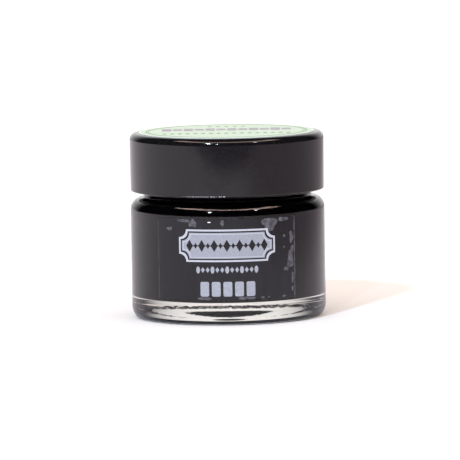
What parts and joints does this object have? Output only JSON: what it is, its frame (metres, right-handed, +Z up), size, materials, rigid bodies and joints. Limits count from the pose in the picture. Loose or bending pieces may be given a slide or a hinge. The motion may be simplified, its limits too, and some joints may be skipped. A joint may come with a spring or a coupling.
{
  "type": "shoe cream jar",
  "caption": "Round glass jar of black shoe cream with a screw cap, a wad liner, a clear front label and a round paper label on top.",
  "frame": {"origin": "centre of the jar's foot ring, on the surface that it stands on", "axes": "+Z up the jar's axis towards the cap, -Y out of the middle of the front label"},
  "size_m": [0.052, 0.0524, 0.0499],
  "materials": {
    "flint_glass": "clear moulded flint glass, fire polished",
    "black_cream": "thick waxy cream, satin",
    "clear_film": "clear film printed in silver and black, satin",
    "foam_wad": "closed-cell foam sheet",
    "black_cap_plastic": "moulded, glossy",
    "green_paper": "coated paper, pale green"
  },
  "bodies": {
    "jar": {"glass_jar": "flint_glass", "shoe_cream": "black_cream", "front_label": "clear_film"},
    "liner": {"cap_liner": "foam_wad"},
    "cap": {"screw_cap": "black_cap_plastic", "top_label": "green_paper"}
  },
  "joints": [
    {"name": "cap_lift", "type": "slide", "parent": "jar", "child": "liner", "axis": [0, 0, 1], "range_m": [0, 0.01275]},
    {"name": "cap_turn", "type": "hinge", "parent": "liner", "child": "cap", "pos_m": [0, 0, 0.034], "axis": [0, 0, 1], "range_deg": [0, 1080]}
  ],
  "couplings": [
    {"joint": "cap_lift", "follows": "cap_turn", "m_per_rad": 0.00067375}
  ]
}
